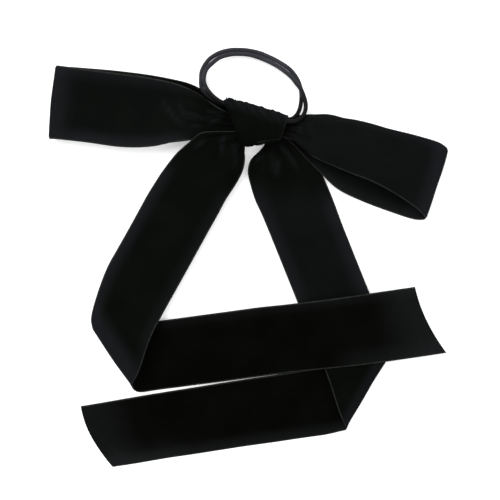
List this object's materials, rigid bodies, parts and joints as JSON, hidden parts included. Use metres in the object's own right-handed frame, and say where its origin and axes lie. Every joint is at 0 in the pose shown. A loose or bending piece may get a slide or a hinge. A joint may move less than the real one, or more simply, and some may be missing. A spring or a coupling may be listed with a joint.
{
  "type": "hair bow",
  "caption": "Tied velvet ribbon hair bow with two loops, long folded tails and an elastic hair tie through the knot.",
  "frame": {"origin": "flat back of the knot, on the surface the bow lies on, near the knot's middle", "axes": "+Z out of the front of the bow, -Z out of the knot's flat back, +Y towards the hair tie, -Y towards the tails, +X towards the right loop"},
  "size_m": [0.2115, 0.227, 0.0157],
  "materials": {
    "velvet": "black cut-pile velvet, matt with a cool sheen at grazing angles",
    "selvage": "narrow woven satin edge of the ribbon",
    "thread": "black polyester sewing thread",
    "elastic": "fine braided cover over elastic, charcoal black with a soft highlight"
  },
  "bodies": {
    "bow": {"knot_wrap": "velvet", "gathered_core": "velvet", "binding_thread": "thread", "knot_stitching": "thread", "left_loop_neck": "velvet", "right_loop_neck": "velvet", "tie_strand_1_root": "elastic", "tie_strand_2_root": "elastic"},
    "left_loop": {"left_loop": "velvet"},
    "right_loop": {"right_loop": "velvet"},
    "left_tail": {"left_tail": "velvet"},
    "right_tail": {"right_tail": "velvet"},
    "hair_tie": {"tie_strand_1_arc": "elastic", "tie_strand_2_arc": "elastic"}
  },
  "joints": [
    {"name": "left_loop_flap", "type": "hinge", "parent": "bow", "child": "left_loop", "pos_m": [-0.0402, 0, 0.0102], "axis": [0, 1, 0], "range_deg": [0, 60]},
    {"name": "right_loop_flap", "type": "hinge", "parent": "bow", "child": "right_loop", "pos_m": [0.0365, -0.014, 0.0136], "axis": [-0.336, -0.9419, 0], "range_deg": [0, 60]},
    {"name": "left_tail_swing", "type": "hinge", "parent": "bow", "child": "left_tail", "pos_m": [-0.0093, -0.0072, 0.0135], "axis": [-0.8714, 0.4906, 0], "range_deg": [0, 75]},
    {"name": "right_tail_swing", "type": "hinge", "parent": "bow", "child": "right_tail", "pos_m": [0.004, -0.0125, 0], "axis": [-0.995, -0.0999, 0], "range_deg": [-60, 0]},
    {"name": "hair_tie_swing", "type": "hinge", "parent": "bow", "child": "hair_tie", "pos_m": [-0.00175, 0.01125, 0.0068], "axis": [0.9768, -0.2142, 0], "range_deg": [-60, 90]}
  ]
}
